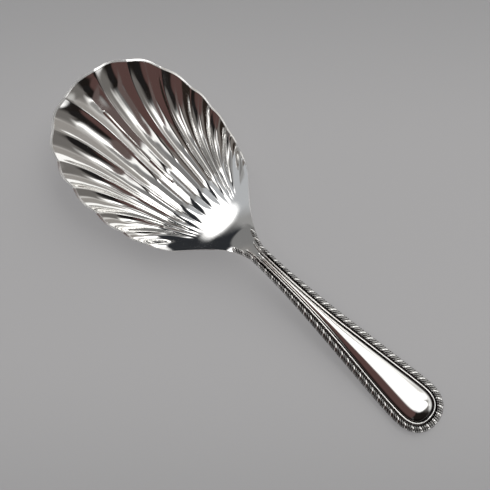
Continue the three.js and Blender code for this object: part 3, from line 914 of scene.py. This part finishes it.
def silver(name, tone, hazy, tarnish_and_shade=None, satin=None):
    """Silver with haze and wiping marks, with a dark colour for tarnish and painted shade or a
    satin edge's roughness.
    """
    material, tree, shader = node_material(name)
    link = tree.links.new
    shader.inputs["Metallic"].default_value = 1
    shader.inputs["Base Color"].default_value = (*tone, 1)
    # Tarnish and painted shade: the silver's colour turns dark where the mask is low
    if tarnish_and_shade:
        lit_and_clean = add_node(tree, "ShaderNodeAttribute", attribute_name="lit_and_clean")
        blend = add_node(tree, "ShaderNodeMix", data_type="RGBA")
        blend.inputs[6].default_value = (*tarnish_and_shade, 1)
        blend.inputs[7].default_value = (*tone, 1)
        link(lit_and_clean.outputs["Fac"], blend.inputs["Factor"])
        link(blend.outputs[2], shader.inputs["Base Color"])
    haze = add_node(tree, "ShaderNodeGroup", node_tree=handling_haze)
    haze.inputs["Hazy"].default_value = hazy
    roughness = haze.outputs["Roughness"]
    if satin:
        edge = add_node(tree, "ShaderNodeAttribute", attribute_name="satin")
        soften = add_node(tree, "ShaderNodeMix", data_type="FLOAT")
        soften.inputs[3].default_value = satin
        link(edge.outputs["Fac"], soften.inputs[0])
        link(roughness, soften.inputs[2])
        roughness = soften.outputs[0]
    link(roughness, shader.inputs["Roughness"])
    marks = add_node(tree, "ShaderNodeGroup", node_tree=polish_marks)
    bump = add_node(tree, "ShaderNodeBump")
    bump.inputs["Strength"].default_value = MARKS_STRENGTH
    bump.inputs["Distance"].default_value = MARKS_DEPTH
    link(marks.outputs["Height"], bump.inputs["Height"])
    link(bump.outputs["Normal"], shader.inputs["Normal"])
    return material


bowl_silver = silver("polished_silver", SILVER_TONE, HAZY_ROUGHNESS, satin=RIM_ROUGHNESS)
handle_silver = silver("handle_silver", SILVER_TONE, HAZY_ROUGHNESS, tarnish_and_shade=GROOVE_TARNISH_AND_SHADE)
border_silver = silver(
    "border_silver", BORDER_TONE, BORDER_HAZY_ROUGHNESS, tarnish_and_shade=GROOVE_TARNISH_AND_SHADE
)

# The spoon's pieces; at the tip the borders meet beside the middle lobe
make_bowl(bowl_silver)
make_stem(handle_silver)
make_thread(handle_silver)
make_border(1, (SOLDER_GAP - LARGE_LOBE) / 2, "gadroon_left", "gadroon_border_left", border_silver)
make_border(
    -1, (SOLDER_GAP + LARGE_LOBE) / 2, "gadroon_right", "gadroon_border_right", border_silver
)
make_plate(bowl_silver)

# Camera, and the picture's own axes: X to the right, Y up and Z off the table, in millimetres
VIEW_ANGLE = math.radians(40)
SPOON_TURN = math.radians(-44.8855)
CAMERA_TILT = math.radians(12.6692)
CAMERA_ROLL = math.radians(-1.63047)
PICTURE_SHIFT = Vector((-35.66, 34.75, 0))
CAMERA_DISTANCE = 149.1
CAMERA_CLIP = (0.01, 20)

model_from_picture = (
    Matrix.Translation(Vector((TIP_SHIFT, 0, 0)))
    @ Matrix.Rotation(-SPOON_TURN, 4, "Z")
    @ Matrix.Translation(-PICTURE_SHIFT)
)


def in_metres(place):
    """From a place in the picture's millimetres to the model's frame in metres."""
    model_place = model_from_picture @ place
    return Matrix.Translation(model_place.translation * MM) @ model_place.to_3x3().to_4x4()


camera_data = bpy.data.cameras.new("camera")
camera_data.sensor_fit = "HORIZONTAL"
camera_data.angle = VIEW_ANGLE
camera_data.clip_start, camera_data.clip_end = CAMERA_CLIP
camera = bpy.data.objects.new("camera", camera_data)
bpy.context.scene.collection.objects.link(camera)
camera.matrix_world = in_metres(
    Matrix.Rotation(CAMERA_TILT, 4, "X")
    @ Matrix.Rotation(CAMERA_ROLL, 4, "Z")
    @ Matrix.Translation(Vector((0, 0, CAMERA_DISTANCE)))
)
bpy.context.scene.camera = camera


# Soft masks, for the floor's painted pool of light in its pale middle, the cards and the world's
# panels
def soft_limit(group, value, edge, size=None):
    """1 where a value is under a size, which is 1 by default, and 0 over it, with a soft edge."""
    mask = add_node(group, "ShaderNodeMapRange", interpolation_type="SMOOTHSTEP")
    mask.inputs["To Min"].default_value = 1
    mask.inputs["To Max"].default_value = 0
    for operation, side in (("SUBTRACT", "From Min"), ("ADD", "From Max")):
        bound = add_node(group, "ShaderNodeMath", operation=operation)
        bound.inputs[0].default_value = 1
        if size is not None:
            group.links.new(size, bound.inputs[0])
        group.links.new(edge, bound.inputs[1])
        group.links.new(bound.outputs[0], mask.inputs[side])
    group.links.new(value, mask.inputs["Value"])
    return mask.outputs["Result"]


def disc_mask_group():
    """Mask of a disc of radius 1 with a soft edge, in an object's own coordinates."""
    group, given, result = node_group(
        "disc_mask", (("Edge", "NodeSocketFloat", 0.1),), (("Mask", "NodeSocketFloat"),)
    )
    place = add_node(group, "ShaderNodeTexCoord")
    reach = add_node(group, "ShaderNodeVectorMath", operation="LENGTH")
    group.links.new(place.outputs["Object"], reach.inputs[0])
    mask = soft_limit(group, reach.outputs["Value"], given.outputs["Edge"])
    group.links.new(mask, result.inputs["Mask"])
    return group


disc_mask = disc_mask_group()


def stage_disc(name, material, place, reaches, size):
    """A flat square of the stage, in which a disc with the given reaches has radius 1."""
    bm = bmesh.new()
    bmesh.ops.create_grid(bm, x_segments=1, y_segments=1, size=size)
    mesh = bpy.data.meshes.new(name)
    bm.to_mesh(mesh)
    bm.free()
    mesh.materials.append(material)
    square = bpy.data.objects.new(name, mesh)
    bpy.context.scene.collection.objects.link(square)
    scale = Matrix.Diagonal((reaches[0] * MM, reaches[1] * MM, 1, 1))
    square.matrix_world = in_metres(place) @ scale
    return square


# Floor, a little paler in a wide middle as a painted pool of light; part of its tone is a painted
# glow, so the shadow stays soft
FLOOR_DROP = Vector((0, 0, -0.1))
FLOOR_REACHES = (260, 52)
FLOOR_SIZE = 60
FLOOR_EDGE = 0.6
FLOOR_GLOW = 1.2
FLOOR_ROUGHNESS = 0.7
FLOOR_SPECULAR = 0.2
FLOOR_FAR = (0.144, 0.143, 0.145)
FLOOR_LIT_MIDDLE = (0.187, 0.184, 0.186)


def make_floor():
    material, tree, shader = node_material("pale_floor")
    shader.inputs["Roughness"].default_value = FLOOR_ROUGHNESS
    shader.inputs["Specular IOR Level"].default_value = FLOOR_SPECULAR
    # Painted glow: the floor gives out light in its own tone, which lifts its shadow
    shader.inputs["Emission Strength"].default_value = FLOOR_GLOW
    # Painted pool of light: a soft disc makes the middle of the floor paler
    middle = add_node(tree, "ShaderNodeGroup", node_tree=disc_mask)
    middle.inputs["Edge"].default_value = FLOOR_EDGE
    tone = add_node(tree, "ShaderNodeMix", data_type="RGBA")
    tone.inputs[6].default_value = (*FLOOR_FAR, 1)
    tone.inputs[7].default_value = (*FLOOR_LIT_MIDDLE, 1)
    tree.links.new(middle.outputs["Mask"], tone.inputs["Factor"])
    tree.links.new(tone.outputs[2], shader.inputs["Base Color"])
    tree.links.new(tone.outputs[2], shader.inputs["Emission Color"])
    stage_disc("floor", material, Matrix.Translation(FLOOR_DROP), FLOOR_REACHES, FLOOR_SIZE)


# Round cards above the spoon, which only the silver shows
CARDS = (
    # Middle, half width and half length in the picture, turn in degrees, soft share and colour
    ((-150, -530, 294), (40, 600), -2, 0.22, (0.006, 0.004, 0.003)),
    ((-350, -440, 264), (450, 190), 30, 0.08, (0.092, 0.052, 0.048)),
    ((130, -170, 260), (85, 62), 20, 0.15, (0.012, 0.011, 0.011)),
    ((-20, 60, 260), (85, 125), -50, 0.2, (0.2, 0.2, 0.2)),
    ((243, 243, 156), (242, 116), 40, 0.31, (0.3, 0.285, 0.27)),
    ((52, 45, 150), (48, 30), 35, 0.25, (0.25, 0.245, 0.24)),
    ((-12, -52, 146), (78, 14), 50, 0.3, (0.12, 0.09, 0.085)),
    ((90, -47, 60), (60, 32), 10, 0.3, (1.6, 1.6, 1.6)),
)


def make_card(name, middle, reaches, turn, edge, tint):
    material, tree, shader = node_material(name)
    shader.inputs["Base Color"].default_value = (0, 0, 0, 1)
    shader.inputs["Specular IOR Level"].default_value = 0
    shader.inputs["Emission Color"].default_value = (*tint, 1)
    shader.inputs["Emission Strength"].default_value = 1
    mask = add_node(tree, "ShaderNodeGroup", node_tree=disc_mask)
    mask.inputs["Edge"].default_value = edge
    tree.links.new(mask.outputs["Mask"], shader.inputs["Alpha"])
    place = Matrix.Translation(Vector(middle)) @ Matrix.Rotation(math.radians(turn), 4, "Z")
    card = stage_disc(name, material, place, reaches, 1 + edge)
    card.visible_camera = False
    card.visible_diffuse = False
    card.visible_shadow = False


# Studio: soft boxes and dark screens, painted in the world by their direction in the picture
ROOM_WHITE = (1.05, 1.05, 1.04, 1)
PANELS = (
    # Azimuth and elevation in degrees, half width, half height, edge and colour, first at the back
    ((30, 48), 0.8, 0.45, 0.1, (3, 3, 2.95)),
    ((136, 52), 0.71, 0.55, 0.04, (3.6, 3.6, 3.6)),
    ((158, 36), 0.45, 0.56, 0.08, (0.45, 0.465, 0.485)),
    ((140, 64), 0.42, 0.44, 0.14, (0.3, 0.3, 0.3)),
    ((106, 30), 0.22, 0.85, 0.08, (0.024, 0.026, 0.03)),
    ((-141, 22), 0.79, 0.72, 0.04, (0.175, 0.158, 0.147)),
    ((-135, 12), 0.8, 0.35, 0.08, (0.022, 0.016, 0.013)),
    ((-60, 36), 0.69, 0.53, 0.16, (0.011, 0.009, 0.008)),
    ((-5, 35), 0.43, 0.28, 0.17, (0.15, 0.142, 0.135)),
)
LEAST_FRONT = 0.001


def soft_box_group():
    """Mask of a rectangular panel with soft edges, seen in a direction."""
    group, given, result = node_group(
        "soft_box",
        (
            ("Direction", "NodeSocketVector", None),
            ("Turn", "NodeSocketVector", None),
            ("Half width", "NodeSocketFloat", 0.5),
            ("Half height", "NodeSocketFloat", 0.5),
            ("Edge", "NodeSocketFloat", 0.1),
        ),
        (("Mask", "NodeSocketFloat"),),
    )
    link = group.links.new
    turned = add_node(group, "ShaderNodeVectorRotate", rotation_type="EULER_XYZ", invert=True)
    parts = add_node(group, "ShaderNodeSeparateXYZ")
    link(given.outputs["Direction"], turned.inputs["Vector"])
    link(given.outputs["Turn"], turned.inputs["Rotation"])
    link(turned.outputs["Vector"], parts.inputs["Vector"])
    front = add_node(group, "ShaderNodeMath", operation="MAXIMUM")
    front.inputs[1].default_value = LEAST_FRONT
    link(parts.outputs["Z"], front.inputs[0])
    both = add_node(group, "ShaderNodeMath", operation="MULTIPLY")
    for count, (axis, size) in enumerate((("X", "Half width"), ("Y", "Half height"))):
        ratio = add_node(group, "ShaderNodeMath", operation="DIVIDE")
        link(parts.outputs[axis], ratio.inputs[0])
        link(front.outputs[0], ratio.inputs[1])
        reach = add_node(group, "ShaderNodeMath", operation="ABSOLUTE")
        link(ratio.outputs[0], reach.inputs[0])
        mask = soft_limit(group, reach.outputs[0], given.outputs["Edge"], given.outputs[size])
        link(mask, both.inputs[count])
    link(both.outputs[0], result.inputs["Mask"])
    return group


def panel_turn(azimuth, elevation):
    """Turn that points a panel's Z at a direction, given in degrees."""
    azimuth, elevation = math.radians(azimuth), math.radians(elevation)
    level = math.cos(elevation)
    aim = Vector((level * math.cos(azimuth), level * math.sin(azimuth), math.sin(elevation)))
    return aim.to_track_quat("Z", "Y").to_euler()


def make_studio():
    soft_box = soft_box_group()
    world = bpy.data.worlds.new("studio")
    world.use_nodes = True
    bpy.context.scene.world = world
    tree = world.node_tree
    link = tree.links.new
    sky = add_node(tree, "ShaderNodeTexCoord")
    to_picture = add_node(tree, "ShaderNodeMapping")
    to_picture.inputs["Rotation"].default_value = (0, 0, SPOON_TURN)
    link(sky.outputs["Generated"], to_picture.inputs["Vector"])
    room = add_node(tree, "ShaderNodeRGB")
    color = room.outputs["Color"]
    color.default_value = ROOM_WHITE
    for aim, half_width, half_height, edge, tint in PANELS:
        panel = add_node(tree, "ShaderNodeGroup", node_tree=soft_box)
        panel.inputs["Turn"].default_value = panel_turn(*aim)
        panel.inputs["Half width"].default_value = half_width
        panel.inputs["Half height"].default_value = half_height
        panel.inputs["Edge"].default_value = edge
        link(to_picture.outputs["Vector"], panel.inputs["Direction"])
        mix = add_node(tree, "ShaderNodeMix", data_type="RGBA")
        mix.inputs[7].default_value = (*tint, 1)
        link(panel.outputs["Mask"], mix.inputs["Factor"])
        link(color, mix.inputs[6])
        color = mix.outputs[2]
    link(color, tree.nodes["Background"].inputs["Color"])


make_floor()
for count, card_values in enumerate(CARDS):
    make_card("card_%d" % count, *card_values)
make_studio()
bpy.context.scene.view_settings.view_transform = "Standard"
